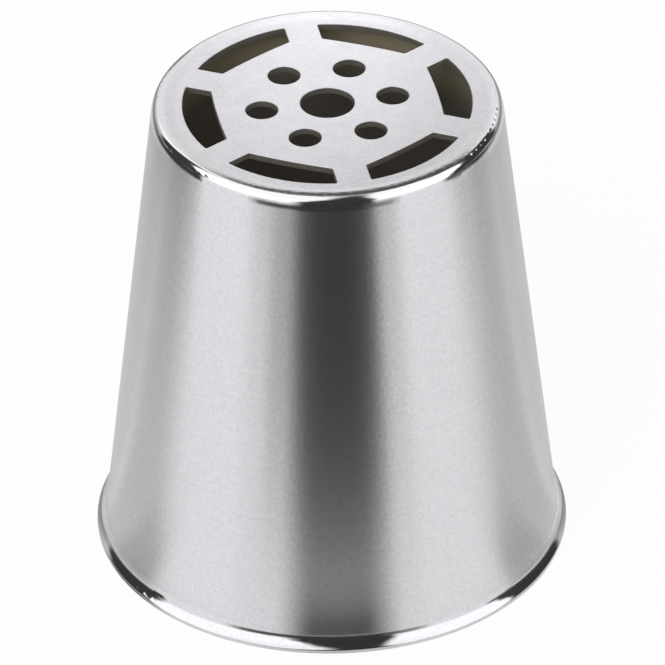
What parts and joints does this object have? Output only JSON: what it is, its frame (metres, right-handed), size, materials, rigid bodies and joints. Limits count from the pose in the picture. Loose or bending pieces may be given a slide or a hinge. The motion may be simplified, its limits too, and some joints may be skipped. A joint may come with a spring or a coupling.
{
  "type": "piping nozzle",
  "caption": "Flower-pattern piping nozzle: tapered steel shell with an outward foot lip, closed by a flat perforated plate of round holes and arc slots.",
  "frame": {"origin": "centre of the base, in the plane that the foot lip stands on", "axes": "+Z along the axis towards the patterned face, +X through the middle of a slot"},
  "size_m": [0.0362, 0.0362, 0.038],
  "materials": {
    "brushed_shell": "brushed round the axis, foot lip polished",
    "satin_plate": "satin",
    "polished_weld": "polished"
  },
  "bodies": {
    "root": {"cone_shell": "brushed_shell", "pattern_plate": "satin_plate", "weld_ring": "polished_weld"}
  },
  "joints": []
}
